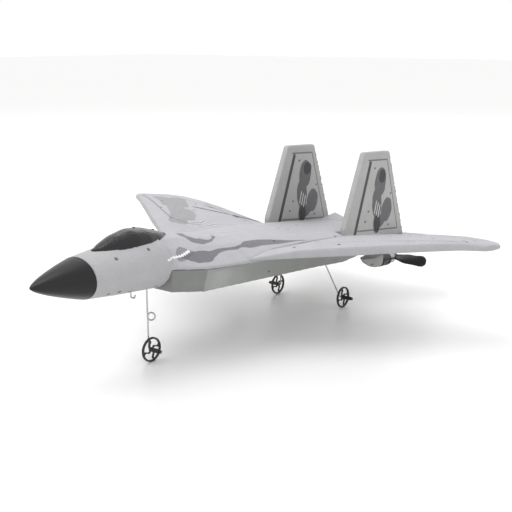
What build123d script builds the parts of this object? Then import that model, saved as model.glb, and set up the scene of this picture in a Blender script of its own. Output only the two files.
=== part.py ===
from build123d import *
import math
import os

# Foam RC jet on wire landing gear, millimetres.
# +Z up, nose towards -Y, +X is the pilot's left (port) wing.
# Origin: on the ground, at the middle of the length and of the span.
# Lengthwise places are stations, counted from the nose tip.

LENGTH = 284.5
HALF_SPAN = 130.4
TILT = 4.14                      # the body stands this many degrees nose-up on its wheels

# foam body
BELLY_Z = 34.1                   # height of the belly plane at mid length
TRUNK_DEPTH = 11.9               # belly plane to parting plane
LIP = 1.6                        # vertical edge above the parting plane
TRUNK_BOTTOM_HALF = 23.5
BOOM_HALF = 26.5
ROOT_HALF = 30.0
TRUNK_FRONT = 73.5
TRUNK_SHOULDER = 88.0
WING_ROOT_END = 207.5
BOOM_END = 261.5
SPINE_END = 269.5

# nose
CONE_LENGTH = 27.5
NOSE_Z = 55.0
CONE_HALF_WIDTH = 13.0
CONE_HALF_HEIGHT = 10.1
CONE_CENTRE_Z = 54.0

# fins
FIN_X = 28.5
FIN_THICKNESS = 4.0

# motors, pods and propellers
POD_X = 54.0
MOTOR_AXIS_Z = 35.2
MOTOR_STATION = 216.0            # middle of the motor can
MOTOR_RADIUS = 3.0
MOTOR_LENGTH = 13.0
SHAFT_RADIUS = 0.4
PROP_RADIUS = 21.5

# landing gear
WIRE_RADIUS = 0.4
WHEEL_RADIUS = 6.5
WHEEL_RIM = 0.95
WHEEL_WIDTH = 1.3
HUB_RADIUS = 1.15
HUB_BORE = 0.46
NOSE_WHEEL_STATION = 73.8
MAIN_WHEEL_STATION = 215.5
MAIN_WHEEL_X = 25.0

# equipment bay in the belly
TRAY_LENGTH = 74.0
TRAY_WIDTH = 26.0
TRAY_DEPTH = 9.6
TRAY_WALL = 0.9
TRAY_STATION = 122.0             # middle of the tray
COVER_THICKNESS = 1.2

os.makedirs("parts", exist_ok=True)


def at(station):
    """Lengthwise place of a station."""
    return station - LENGTH / 2


def save(name, shape):
    """Write a node's STEP file."""
    shape.label = name
    export_step(shape, "parts/" + name + ".step")


def mirrored(shape):
    return shape.mirror(Plane.YZ)


def belly_z(station):
    """Height of the belly plane, which slopes down towards the tail."""
    return BELLY_Z - math.tan(math.radians(TILT)) * at(station)


def parting_z(station):
    """Height of the plane where the upper moulding sits on the trunk."""
    return belly_z(station) + TRUNK_DEPTH / math.cos(math.radians(TILT))


def interpolate(table, place):
    """Value at a place on straight lines through (place, value) pairs."""
    for (p0, v0), (p1, v1) in zip(table[:-1], table[1:]):
        if place <= p1:
            return v0 + (v1 - v0) * max(place - p0, 0) / (p1 - p0)
    return table[-1][1]


# ---------------------------------------------------------------- foam body
# tables of (station, value); straight lines between the places
TOP_LINE = ((27.5, 64.1), (45, 66.0), (60, 67.2), (73.5, 67.0), (88, 64.9), (112, 61.0),
            (137, 58.0), (165, 54.6), (207.5, 49.6), (269.5, 41.8))
LIP_HALF = ((73.5, 16.2), (88, 26.5), (118.5, 30.0), (207.5, 30.0))
LIP_TOP = ((118.5, 50.8), (137, 52.2), (165, 51.0), (207.5, 47.3))
SHOULDER_HALF = ((73.5, 11.5), (88, 15.0), (112, 17.0), (137, 19.0), (165, 22.0), (269.5, 24.0))
SHOULDER_DROP = ((73.5, 6.0), (88, 5.4), (112, 3.6), (137, 1.8), (165, 0.9), (269.5, 0.4))
# station, half width and bottom of the oval forward body
NOSE_SECTIONS = ((27.5, 13.0, 43.9), (45, 15.1, 42.0), (60, 16.2, 40.8), (73.5, 16.4, 39.7))
OVAL_POINTS = 24


def oval(station, half_width, bottom, top):
    """Closed oval cross section of the forward body."""
    middle = (bottom + top) / 2
    half_height = (top - bottom) / 2
    points = []
    for i in range(OVAL_POINTS):
        angle = 2 * math.pi * i / OVAL_POINTS
        points.append(Vector(half_width * math.cos(angle), at(station),
                             middle + half_height * math.sin(angle)))
    return Face(Wire(Edge.make_spline(points, periodic=True)))


def polygon_face(points):
    return Face(Wire.make_polygon([Vector(*p) for p in points], close=True))


def upper_section(station, half_width, lip_top=None):
    """Cross section of the upper moulding, flat on the parting plane."""
    base = parting_z(station)
    top = interpolate(TOP_LINE, station)
    shoulder_x = min(interpolate(SHOULDER_HALF, station), half_width - 1.5)
    shoulder_z = top - interpolate(SHOULDER_DROP, station)
    lip_z = min(lip_top or base + LIP, shoulder_z - 0.3)
    half = ((half_width, base), (half_width, lip_z), (shoulder_x, shoulder_z),
            (shoulder_x * 0.5, top - 0.2 * (top - shoulder_z)), (0, top))
    points = [(x, at(station), z) for x, z in half]
    points += [(-x, at(station), z) for x, z in reversed(half[:-1])]
    return polygon_face(points)


def in_body(shape, station, height=0):
    """Move a shape from the belly's own tilted axes to its place on the belly."""
    return Location((0, at(station), belly_z(station)), (-TILT, 0, 0)) * (Location((0, 0, height)) * shape)


def block(width, length, depth):
    """Box standing on its base, centred across and along."""
    return Box(width, length, depth, align=(Align.CENTER, Align.CENTER, Align.MIN))


# ---------------------------------------------------------------- wings
# across, leading edge station, its lower height, its thickness, crest height,
# trailing edge station and its upper height
WING_SECTIONS = ((30.0, 117.5, 49.2, 1.6, 52.2, 207.5, 47.3),
                 (50.0, 132.4, 50.7, 4.4, 57.2, 208.5, 50.4),
                 (70.8, 147.2, 52.2, 4.8, 58.4, 211.0, 53.2),
                 (88.0, 160.2, 53.6, 4.6, 59.1, 213.0, 54.8),
                 (105.0, 173.1, 54.7, 4.2, 59.5, 214.0, 55.8),
                 (117.0, 182.2, 55.3, 3.8, 59.3, 212.5, 56.0),
                 (130.4, 192.3, 54.8, 2.4, 57.8, 207.5, 55.8))
CREST = 0.17                     # crest place, as a part of the chord
TRAILING_THICKNESS = 1.6
TIP_CORNERS = ((127.5, 190.1), (130.4, 200.5), (125.0, 210.5))
SPAR_STATION = 165.0
SPAR_RADIUS = 0.75
SPAR_ENDS = ((22.0, 48.6), (85.0, 56.0))


def wing_section(across, le_station, le_low, thickness, crest, te_station, te_top):
    chord = te_station - le_station
    middle_top = te_top + 0.52 * (crest - te_top)
    outline = ((le_station + 0.4, le_low), (le_station, le_low + 0.45 * thickness),
               (le_station + 1.3, le_low + thickness), (le_station + CREST * chord, crest),
               (le_station + 0.6 * chord, middle_top), (te_station, te_top),
               (te_station, te_top - TRAILING_THICKNESS))
    return polygon_face([(across, at(station), z) for station, z in outline])


wing = loft([wing_section(*section) for section in WING_SECTIONS], ruled=True)
front_corner, side_corner, rear_corner = TIP_CORNERS
plan = [(20, at(100)), (front_corner[0], at(100)), (front_corner[0], at(front_corner[1])),
        (side_corner[0], at(side_corner[1])), (rear_corner[0], at(rear_corner[1])),
        (105, at(215)), (20, at(215))]
wing = wing & extrude(polygon_face([(x, y, 0) for x, y in plan]), 100, dir=(0, 0, 1))
spar_start, spar_end = (Vector(x, at(SPAR_STATION), z) for x, z in SPAR_ENDS)
spar = Solid.make_cylinder(SPAR_RADIUS, (spar_end - spar_start).length,
                           Plane(origin=spar_start, z_dir=spar_end - spar_start))
left_wing = wing - spar

# ---------------------------------------------------------------- nose cone
PLUG_RADIUS = 7.0
PLUG_LENGTH = 8.0
CONE_STEPS = (0.0, 0.04, 0.12, 0.25, 0.42, 0.62, 0.82, 1.0)


def cone_section(part):
    """Oval section of the nose cone at a part of its length."""
    size = max(part, 0.004) ** 0.68
    middle = NOSE_Z + (CONE_CENTRE_Z - NOSE_Z) * part
    plane = Plane(origin=(0, at(CONE_LENGTH * part), middle), x_dir=(1, 0, 0), z_dir=(0, 1, 0))
    return plane * Ellipse(CONE_HALF_WIDTH * size, CONE_HALF_HEIGHT * size)


cone = loft([cone_section(part) for part in CONE_STEPS])
plug = Solid.make_cylinder(PLUG_RADIUS, PLUG_LENGTH,
                           Plane(origin=(0, at(CONE_LENGTH), CONE_CENTRE_Z), z_dir=(0, 1, 0)))
save("nose_cone", cone + plug)

# ---------------------------------------------------------------- canopy
# station, half width, sill height and top of the canopy
CANOPY_SECTIONS = ((37.4, 0.8, 64.2, 65.6), (42, 4.6, 62.8, 67.6), (50, 7.6, 62.4, 70.3),
                   (59.8, 8.8, 62.6, 72.1), (68, 8.4, 63.0, 71.3), (77, 6.0, 63.6, 68.6),
                   (84.6, 1.0, 64.0, 65.9))


def canopy_section(station, half_width, sill, top):
    points = [(-half_width, at(station), sill)]
    for i in range(1, 12):
        angle = math.pi * i / 12
        rise = (top - sill) * math.sin(angle) ** 0.9
        points.append((-half_width * math.cos(angle), at(station), sill + rise))
    points.append((half_width, at(station), sill))
    return polygon_face(points)


canopy = loft([canopy_section(*section) for section in CANOPY_SECTIONS], ruled=True)
save("canopy", canopy)

# ---------------------------------------------------------------- trunk under the body
TAIL_RISE_START = 216.0
TAIL_RISE = 6.5
PANEL_STATION = 200.0
PANEL_LINE = 0.8
sine = math.sin(math.radians(TILT))
cosine = math.cos(math.radians(TILT))


def trunk_outline(corners, height):
    """Closed outline at a height over the belly plane, from (half width, station) corners."""
    half = [(x, (at(station) - height * sine) / cosine) for x, station in corners]
    points = half + [(-x, y) for x, y in reversed(half)]
    return polygon_face([(x, y, height) for x, y in points])


bottom_corners = ((14.2, 75.0), (TRUNK_BOTTOM_HALF, 89.0), (TRUNK_BOTTOM_HALF, 190.0),
                  (BOOM_HALF - 1.5, WING_ROOT_END), (BOOM_HALF - 1.5, BOOM_END))
top_corners = ((16.2, TRUNK_FRONT), (BOOM_HALF, TRUNK_SHOULDER), (BOOM_HALF, 190.0),
               (BOOM_HALF, WING_ROOT_END), (BOOM_HALF, BOOM_END))
to_belly = Location((0, 0, BELLY_Z), (-TILT, 0, 0))
trunk_ends = [trunk_outline(bottom_corners, 0), trunk_outline(top_corners, TRUNK_DEPTH)]
trunk = to_belly * loft(trunk_ends, ruled=True)
rise = polygon_face([(-40, at(TAIL_RISE_START), belly_z(TAIL_RISE_START)),
                     (-40, at(BOOM_END + 5), belly_z(BOOM_END + 5) + TAIL_RISE),
                     (-40, at(BOOM_END + 5), 0), (-40, at(TAIL_RISE_START), 0)])
trunk -= extrude(rise, 80, dir=(1, 0, 0))
# shallow panel line across the belly, ahead of the main gear
trunk -= in_body(block(80, PANEL_LINE, PANEL_LINE * 2), PANEL_STATION, -PANEL_LINE)

# ---------------------------------------------------------------- equipment tray in the belly
RIB_OFFSET = 3.0                 # the rib is this far behind the middle of the tray
PIN_RADIUS = 0.4
PIN_HEIGHT = 1.1
PIN_SETBACK = 2.4
inner_width = TRAY_WIDTH - 2 * TRAY_WALL
front_wall = -TRAY_LENGTH / 2
rear_wall = TRAY_LENGTH / 2
trunk -= in_body(block(TRAY_WIDTH, TRAY_LENGTH, TRAY_DEPTH), TRAY_STATION)
tray = block(TRAY_WIDTH, TRAY_LENGTH, TRAY_DEPTH)
tray -= block(inner_width, TRAY_LENGTH - 2 * TRAY_WALL, TRAY_DEPTH - TRAY_WALL)
tray += Location((0, RIB_OFFSET, COVER_THICKNESS + 0.1)) * block(inner_width, TRAY_WALL,
                                                                TRAY_DEPTH - COVER_THICKNESS - 0.5)
pin_y = front_wall + TRAY_WALL + PIN_SETBACK
pin = Cylinder(PIN_RADIUS, TRAY_WIDTH, rotation=(0, 90, 0))
pin = Location((0, pin_y, PIN_HEIGHT)) * pin
SCREW_RADIUS = 0.8
SCREW_PLACES = ((-9.6, RIB_OFFSET + 3.2), (9.6, rear_wall - 3.2))
for x, y in SCREW_PLACES:
    boss = Cylinder(1.7, 5.0, align=(Align.CENTER, Align.CENTER, Align.MIN))
    tray += Location((x, y, COVER_THICKNESS)) * boss
    tray += Location((math.copysign(11.2, x), y, COVER_THICKNESS)) * block(3.0, 1.6, 5.0)
    tray -= Location((x, y, 0)) * Cylinder(SCREW_RADIUS, 5.5, align=(Align.CENTER, Align.CENTER, Align.MIN))
tray -= pin
save("equipment_tray", in_body(tray, TRAY_STATION))
save("hatch_pin", in_body(pin, TRAY_STATION))

# battery hatch, hinged at its front edge
FIT = 0.15
hatch_start = pin_y
hatch_end = RIB_OFFSET - TRAY_WALL / 2 + 0.3
hatch_width = inner_width - 2 * FIT
hatch = Location((0, (hatch_start + hatch_end) / 2, FIT)) * block(hatch_width, hatch_end - hatch_start,
                                                                 COVER_THICKNESS - FIT)
knuckle = Cylinder(0.95, hatch_width, rotation=(0, 90, 0))
hatch += Location((0, pin_y, PIN_HEIGHT)) * knuckle
hatch -= Location((0, pin_y, PIN_HEIGHT)) * Cylinder(PIN_RADIUS + 0.04, TRAY_WIDTH, rotation=(0, 90, 0))
for i in range(5):
    rib = Location((0, hatch_end - 2.0 - 1.4 * i, FIT)) * block(9.0, 0.6, 0.35)
    hatch -= rib
save("battery_hatch", in_body(hatch, TRAY_STATION))

# fixed cover over the receiver, with the switch slot and the charging port
SWITCH_Y = RIB_OFFSET + 12.0
SOCKET_Y = RIB_OFFSET + 24.0
SLIDER_TRAVEL = 2.0
cover_start = hatch_end + 0.2
cover_end = rear_wall - TRAY_WALL
cover = Location((0, (cover_start + cover_end) / 2, FIT)) * block(inner_width, cover_end - cover_start,
                                                                 COVER_THICKNESS - FIT)
cover -= Location((0, SWITCH_Y, 0)) * block(6.4, 2.2, 2)
cover -= Location((0, SOCKET_Y, 0)) * block(6.2, 4.2, 2)
for x, y in SCREW_PLACES:
    cover -= Location((x, y, 0)) * Cylinder(SCREW_RADIUS, 4)
    cover -= Location((x, y, FIT)) * Cylinder(1.5, 0.5, align=(Align.CENTER, Align.CENTER, Align.MIN))
save("bay_cover", in_body(cover, TRAY_STATION))
screws = []
for x, y in SCREW_PLACES:
    screw = Cylinder(SCREW_RADIUS, 4.6, align=(Align.CENTER, Align.CENTER, Align.MIN))
    screw += Cylinder(1.5, 0.5, align=(Align.CENTER, Align.CENTER, Align.MIN))
    screw -= block(2.0, 0.35, 0.3)
    screw -= block(0.35, 2.0, 0.3)
    screws.append(in_body(Location((x, y, FIT)) * screw, TRAY_STATION))
save("cover_screws", Compound(children=screws))

battery = Location((0, front_wall / 2 + 1.8, COVER_THICKNESS + 0.7)) * block(21.0, 29.0, 6.4)
battery = fillet(battery.edges().filter_by(Axis.Y), 1.2)
save("battery", in_body(battery, TRAY_STATION))
BOARD_HEIGHT = 6.4
board = Location((0, (RIB_OFFSET + rear_wall) / 2, BOARD_HEIGHT)) * block(22.0, 31.0, 0.9)
for x, y, width, length, depth in ((-5.0, -6.0, 5.0, 5.0, 0.9), (4.5, -5.0, 3.0, 4.0, 0.7),
                                   (5.0, 4.0, 3.4, 3.4, 0.8), (-5.5, 5.0, 2.0, 3.0, 1.0)):
    chip = Location((x, y + (RIB_OFFSET + rear_wall) / 2, BOARD_HEIGHT + 0.9)) * block(width, length, depth)
    board += chip
save("receiver_board", in_body(board, TRAY_STATION))
switch_body = Location((0, SWITCH_Y, 1.6)) * block(8.6, 3.8, BOARD_HEIGHT - 1.6)
switch_body -= Location((0, SWITCH_Y, 1.6)) * block(SLIDER_TRAVEL + 2.6, 1.7, 2.0)
save("switch_body", in_body(switch_body, TRAY_STATION))
slider = Location((-SLIDER_TRAVEL / 2, SWITCH_Y, 0.25)) * block(2.2, 1.5, 3.1)
save("switch_slider", in_body(slider, TRAY_STATION))
socket = Location((0, SOCKET_Y, 0.3)) * block(6.0, 4.0, BOARD_HEIGHT - 0.3)
socket -= Location((0, SOCKET_Y, 0.3)) * block(5.0, 3.0, 3.6)
for x in (-1.0, 1.0):
    contact = Location((x, SOCKET_Y, 0.8)) * block(0.5, 0.5, 3.1)
    socket += contact
save("charge_socket", in_body(socket, TRAY_STATION))

# ---------------------------------------------------------------- tail
# station and height of the fin's corners, from the foot of its leading edge
FIN_CORNERS = ((207.7, 50.6), (228.2, 94.8), (257.4, 93.2), (279.4, 34.8), (228, 36.4), (207.7, 42.0))
fin_face = polygon_face([(FIN_X - FIN_THICKNESS / 2, at(station), z) for station, z in FIN_CORNERS])
fin = extrude(fin_face, FIN_THICKNESS, dir=(1, 0, 0))
top_edges = [e for e in fin.edges().filter_by(Axis.X) if e.center().Z > 90]
fin = fillet(top_edges, 1.8)
TAILPLANE_TOP = 37.4
TAILPLANE_THICKNESS = 2.8
TAILPLANE_CORNERS = ((232.5, 30.5), (260.5, 62.0), (271.5, 62.0), (284.5, 44.0), (280.0, 30.5))
tail_face = polygon_face([(x, at(station), TAILPLANE_TOP - TAILPLANE_THICKNESS)
                          for station, x in TAILPLANE_CORNERS])
tailplane = extrude(tail_face, TAILPLANE_THICKNESS, dir=(0, 0, 1))

# trim flaps between the fins, hinged along the swept rear edge of the deck
FLAP_THICKNESS = 2.0
FLAP_REST = 7.0                  # degrees nose-up of the flap as trimmed
HINGE_GAP = 0.45
HINGE_DROP = 1.3                 # the hinge line lies this far under the deck
hinge_sweep = math.atan2(18.0, 40.0)
hinge_start = Vector(0, at(SPINE_END), interpolate(TOP_LINE, SPINE_END) - HINGE_DROP)
hinge_reach = Vector(40, at(SPINE_END - 18), interpolate(TOP_LINE, SPINE_END - 18) - HINGE_DROP)
hinge_dir = (hinge_reach - hinge_start).normalized()
hinge_offset = Vector(math.sin(hinge_sweep), math.cos(hinge_sweep), 0) * (HINGE_GAP + FLAP_THICKNESS / 2)
hinge_plane = Plane(origin=hinge_start + hinge_offset, x_dir=hinge_dir,
                    z_dir=Vector(0, 0, 1) - hinge_dir * hinge_dir.Z)
# along the hinge and behind it
FLAP_CORNERS = ((2.4, 0.0), (25.0, 0.0), (17.6, 17.6), (9.4, 8.4), (2.6, 1.0))
flap = Solid.extrude(polygon_face([(x, y, -FLAP_THICKNESS / 2) for x, y in FLAP_CORNERS]),
                     Vector(0, 0, FLAP_THICKNESS))
flap = flap + Location((2.4, 0, 0)) * Solid.make_cylinder(FLAP_THICKNESS / 2, 22.6, Plane.YZ)
flap = hinge_plane * (Rotation(FLAP_REST, 0, 0) * flap)

# ---------------------------------------------------------------- upper moulding
nose_body = loft([oval(s, w, b, interpolate(TOP_LINE, s)) for s, w, b in NOSE_SECTIONS], ruled=True)
upper_front = loft([upper_section(s, interpolate(LIP_HALF, s)) for s in (73.5, 88, 100, 118.5)], ruled=True)
upper_middle = loft([upper_section(s, ROOT_HALF, interpolate(LIP_TOP, s))
                     for s in (118.5, 137, 165, WING_ROOT_END)], ruled=True)
upper_rear = loft([upper_section(s, BOOM_HALF) for s in (WING_ROOT_END, 235, SPINE_END)], ruled=True)
fuselage = nose_body + upper_front + upper_middle + upper_rear
for side in (-1, 1):
    beyond = polygon_face([(0, at(SPINE_END), 0), (side * 40, at(SPINE_END - 18), 0),
                           (side * 40, at(SPINE_END + 10), 0), (0, at(SPINE_END + 10), 0)])
    fuselage -= extrude(beyond, 100, dir=(0, 0, 1))
fuselage -= canopy
fuselage -= plug
fuselage -= spar
fuselage -= mirrored(spar)

# ---------------------------------------------------------------- motors, pods and propellers
CLIP_RADIUS = 3.75
CLIP_FLOOR = 1.2
CLIP_START = -8.5                # from the motor's middle station, along its axis
motor_place = Location((POD_X, at(MOTOR_STATION), MOTOR_AXIS_Z), (-TILT, 0, 0))


def rod(radius, start, end):
    """Cylinder along the motor's axis."""
    return Solid.make_cylinder(radius, end - start, Plane(origin=(0, start, 0), z_dir=(0, 1, 0)))


clip = rod(CLIP_RADIUS, CLIP_START, 0.0) - rod(MOTOR_RADIUS, CLIP_START + CLIP_FLOOR, 0.0)
for angle in (20, 160, 270):
    window = Location((0, 0, 0), (0, angle, 0)) * (Location((CLIP_RADIUS, -3.2, 0)) * Box(4.0, 4.4, 1.5))
    clip -= window
tongue = rod(1.6, CLIP_START - 7.0, CLIP_START)
clip += tongue
motor_start = CLIP_START + CLIP_FLOOR
motor_end = motor_start + MOTOR_LENGTH
motor = rod(MOTOR_RADIUS, motor_start, motor_end)
motor += rod(1.2, motor_end, motor_end + 0.5)
motor -= rod(SHAFT_RADIUS + 0.05, motor_end - 5.0, motor_end + 0.5)
shaft = rod(SHAFT_RADIUS, motor_end - 4.8, motor_end + 5.6)
HUB_START = motor_end + 1.0
HUB_END = HUB_START + 4.8
BLADE_Y = (HUB_START + HUB_END) / 2
# distance from the axis, chord, thickness and pitch angle of a blade
BLADE_SECTIONS = ((1.0, 3.2, 1.3, 40), (5.0, 4.8, 0.9, 32), (11.0, 6.0, 0.7, 23),
                  (17.0, 6.4, 0.6, 17), (20.4, 5.0, 0.5, 14), (PROP_RADIUS, 2.2, 0.4, 13))


def blade_section(reach, chord, thickness, pitch):
    angle = math.radians(pitch)
    plane = Plane(origin=(reach, BLADE_Y, 0), x_dir=(0, math.sin(angle), math.cos(angle)), z_dir=(1, 0, 0))
    return plane * Ellipse(chord / 2, thickness / 2)


blade = loft([blade_section(*section) for section in BLADE_SECTIONS])
propeller = rod(1.9, HUB_START, HUB_END) + blade + blade.rotate(Axis.Y, 180)
propeller = propeller - rod(SHAFT_RADIUS, HUB_START, motor_end + 5.6)

# station, half width and bottom of the foam pod; its top meets the wing
POD_SECTIONS = ((187.0, 0.8, 44.0), (189.0, 2.4, 40.0), (193.0, 3.5, 36.4), (198.0, 4.1, 33.9),
                (202.5, 4.3, 32.6), (205.8, 4.3, 32.4))
POD_TOP = 55.0


def pod_section(station, half_width, bottom):
    points = [(POD_X + half_width, at(station), POD_TOP)]
    for i in range(13):
        angle = math.pi * i / 12
        points.append((POD_X + half_width * math.cos(angle), at(station),
                       bottom + half_width - half_width * math.sin(angle)))
    points.append((POD_X - half_width, at(station), POD_TOP))
    return polygon_face(points)


pod = loft([pod_section(*section) for section in POD_SECTIONS], ruled=True)
above_wing = Location((POD_X, at(197), POD_TOP)) * Box(20, 40, 30)
pod = pod - wing - above_wing
pieces = sorted(pod.solids(), key=lambda solid: solid.center().Z)
pod = pieces[0]
pod = pod - motor_place * rod(CLIP_RADIUS + 0.02, CLIP_START, 0) - motor_place * tongue

# motor lead under the wing, round the root rib and into the trunk
LEAD_RADIUS = 0.6
LEAD_STATION = 196.0
LEAD_PLACES = ((POD_X - 2.6, 48.1), (31.4, 45.2), (31.4, 40.4), (20.5, 38.4))


def bent_rod(radius, points, corner):
    """Round rod through the points with rounded corners."""
    path = FilletPolyline(*points, radius=corner)
    section = Plane(origin=path @ 0, z_dir=path % 0) * Circle(radius)
    return sweep(section, path=path)


lead = bent_rod(LEAD_RADIUS, [(x, at(LEAD_STATION), z) for x, z in LEAD_PLACES], 1.6)
pod = pod - lead
trunk = trunk - lead - mirrored(lead)

# ---------------------------------------------------------------- landing gear
AXLE_Z = WHEEL_RADIUS
HUB_LENGTH = 6.5
STOP_LENGTH = 0.9
STOP_RADIUS = 0.85
NOSE_LEG_X = -2.0
NOSE_AXLE_END = 7.0
LOOP_Z = 24.0
LOOP_RADIUS = 1.9
LOOP_TURN = math.radians(38)     # the coil opens this far round from straight ahead
LOOP_PITCH = 1.0
LOOP_CORNERS = 8
SOCKET_SIZE = 4.0
SOCKET_Z = 39.6
SOCKET_DEPTH = 6.1
nose_y = at(NOSE_WHEEL_STATION)
right = Vector(math.cos(LOOP_TURN), math.sin(LOOP_TURN), 0)
forward = Vector(math.sin(LOOP_TURN), -math.cos(LOOP_TURN), 0)
leg = Vector(NOSE_LEG_X, nose_y, 0)
upper_leg = leg + forward * LOOP_PITCH
corner_reach = LOOP_RADIUS / math.cos(math.pi / LOOP_CORNERS)
coil_corners = []
for i in range(LOOP_CORNERS):
    angle = math.pi + math.pi / LOOP_CORNERS * (1 + 2 * i)
    coil_corners.append(leg + right * (LOOP_RADIUS + corner_reach * math.cos(angle))
                        + Vector(0, 0, LOOP_Z + corner_reach * math.sin(angle))
                        + forward * LOOP_PITCH * (1 - i / (LOOP_CORNERS - 1)))
nose_points = [upper_leg + Vector(0, 0, 44.5)] + coil_corners
nose_points += [leg + Vector(0, 0, AXLE_Z), Vector(NOSE_AXLE_END, nose_y, AXLE_Z)]
nose_wire = bent_rod(WIRE_RADIUS, nose_points, [LOOP_RADIUS * 0.9] * LOOP_CORNERS + [0.9])
save("nose_gear_wire", nose_wire)
socket_place = Location((upper_leg.X, upper_leg.Y, SOCKET_Z))
nose_socket = socket_place * block(SOCKET_SIZE, SOCKET_SIZE, SOCKET_DEPTH)
fuselage -= nose_socket
trunk -= nose_socket
save("nose_gear_socket", nose_socket - nose_wire)

MAIN_BLOCK_STATION = 207.0
MAIN_LEG_X = 17.0
MAIN_FOOT_X = 22.6
MAIN_AXLE_END = 31.6
MAIN_WIRE_Z = 28.3
main_y = at(MAIN_WHEEL_STATION)
main_top = at(MAIN_BLOCK_STATION)
half_points = [(MAIN_AXLE_END, main_y, AXLE_Z), (MAIN_FOOT_X, main_y, AXLE_Z),
               (MAIN_LEG_X, main_top, MAIN_WIRE_Z)]
main_points = half_points + [(-x, y, z) for x, y, z in reversed(half_points)]
main_wire = bent_rod(WIRE_RADIUS, main_points, 1.0)
save("main_gear_wire", main_wire)
main_block = in_body(block(31.0, 6.0, 3.4), MAIN_BLOCK_STATION, -2.0)
trunk -= main_block
save("main_gear_block", main_block - main_wire)


def tube(outer, inner, start, end):
    """Round tube along X."""
    place = Plane(origin=(start, 0, 0), z_dir=(1, 0, 0))
    return Solid.make_cylinder(outer, end - start, place) - Solid.make_cylinder(inner, end - start, place)


SPOKES = 4
SPOKE_WIDTH = 0.8
SPOKE_BEND = 0.75
spoke_line = []
for i in range(9):
    reach = 0.85 + (WHEEL_RADIUS - WHEEL_RIM + 0.25 - 0.85) * i / 8
    spoke_line.append((reach, SPOKE_BEND * math.sin(2 * math.pi * i / 8)))
near_edge = [Vector(0, y, z - SPOKE_WIDTH / 2) for y, z in spoke_line]
far_edge = [Vector(0, y, z + SPOKE_WIDTH / 2) for y, z in reversed(spoke_line)]
spoke_wire = Wire([Edge.make_spline(near_edge), Edge.make_line(near_edge[-1], far_edge[0]),
                   Edge.make_spline(far_edge), Edge.make_line(far_edge[-1], near_edge[0])])
spoke = extrude(Face(spoke_wire), 0.9, dir=(1, 0, 0)).translate((-0.45, 0, 0))
tyre = tube(WHEEL_RADIUS, WHEEL_RADIUS - WHEEL_RIM, -WHEEL_WIDTH / 2, WHEEL_WIDTH / 2)
tyre = fillet(tyre.edges().filter_by(GeomType.CIRCLE), 0.3)
wheel = tyre + tube(HUB_RADIUS, HUB_BORE, -0.9, HUB_LENGTH - 0.9)
for i in range(SPOKES):
    wheel += spoke.rotate(Axis.X, 360 * i / SPOKES + 20)
wheel -= tube(HUB_BORE, 0.01, -2, 8)
stop = tube(STOP_RADIUS, WIRE_RADIUS, HUB_LENGTH - 0.9 + 0.25, HUB_LENGTH - 0.9 + 0.25 + STOP_LENGTH)
save("nose_wheel", wheel.translate((0, nose_y, AXLE_Z)))
save("nose_wheel_stop", stop.translate((0, nose_y, AXLE_Z)))
left_wheel = wheel.translate((MAIN_WHEEL_X, main_y, AXLE_Z))
left_stop = stop.translate((MAIN_WHEEL_X, main_y, AXLE_Z))
save("left_wheel", left_wheel)
save("right_wheel", mirrored(left_wheel))
save("left_wheel_stop", left_stop)
save("right_wheel_stop", mirrored(left_stop))

# tow hook under the nose
HOOK_STATION = 60.6
hook_y = at(HOOK_STATION)
hook_points = [(0, hook_y, 46.0), (0, hook_y, 37.4), (0, hook_y + 2.4, 36.2), (0, hook_y + 3.0, 37.9)]
hook = bent_rod(WIRE_RADIUS, hook_points, 0.7)
fuselage -= hook
save("tow_hook", hook)

# ---------------------------------------------------------------- write the pieces out
save("fuselage", fuselage)
save("intake_trunk", trunk)
sided = (("wing", left_wing), ("wing_spar", spar), ("fin", fin), ("tailplane", tailplane),
         ("trim_flap", flap), ("motor_pod", pod), ("motor_clip", motor_place * clip),
         ("motor", motor_place * motor), ("motor_shaft", motor_place * shaft),
         ("propeller", motor_place * propeller), ("motor_lead", lead))
for name, shape in sided:
    save("left_" + name, shape)
    save("right_" + name, mirrored(shape))
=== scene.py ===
"""Foam RC jet on wire landing gear: finished foam, plastic and metal over its working frame."""

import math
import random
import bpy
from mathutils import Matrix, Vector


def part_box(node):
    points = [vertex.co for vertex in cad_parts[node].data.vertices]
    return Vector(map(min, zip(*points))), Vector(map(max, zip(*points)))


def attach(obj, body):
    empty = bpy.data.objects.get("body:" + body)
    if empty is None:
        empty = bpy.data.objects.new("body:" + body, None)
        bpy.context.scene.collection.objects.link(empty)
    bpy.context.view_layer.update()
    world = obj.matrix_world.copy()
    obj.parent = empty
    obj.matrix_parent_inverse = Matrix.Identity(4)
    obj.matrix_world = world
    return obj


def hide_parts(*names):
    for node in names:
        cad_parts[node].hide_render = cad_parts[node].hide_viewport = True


bl_info = {
    "name": "Foam RC Jet",
    "version": (1, 0, 0),
    "blender": (4, 5, 0),
    "location": "View3D > Sidebar > RC Jet",
    "description": "Builds the foam mouldings, prints, plastic and metal of a small RC jet",
    "category": "Add Mesh",
}

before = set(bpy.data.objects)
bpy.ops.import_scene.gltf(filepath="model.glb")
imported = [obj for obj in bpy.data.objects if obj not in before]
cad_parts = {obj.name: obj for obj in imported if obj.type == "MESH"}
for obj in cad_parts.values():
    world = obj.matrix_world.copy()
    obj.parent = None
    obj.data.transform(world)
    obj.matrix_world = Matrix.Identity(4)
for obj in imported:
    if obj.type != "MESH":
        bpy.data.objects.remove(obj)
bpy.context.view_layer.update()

import bmesh
import bpy
from mathutils import Vector

# ------------------------------------------------------------------ sizes
MM = 0.001
NOSE_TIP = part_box("nose_cone")[0][1]
FIN_X = 28.5


def at(station):
    """Distance along Y, in mm, of a station counted from the nose tip."""
    return NOSE_TIP / MM + station


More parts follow.
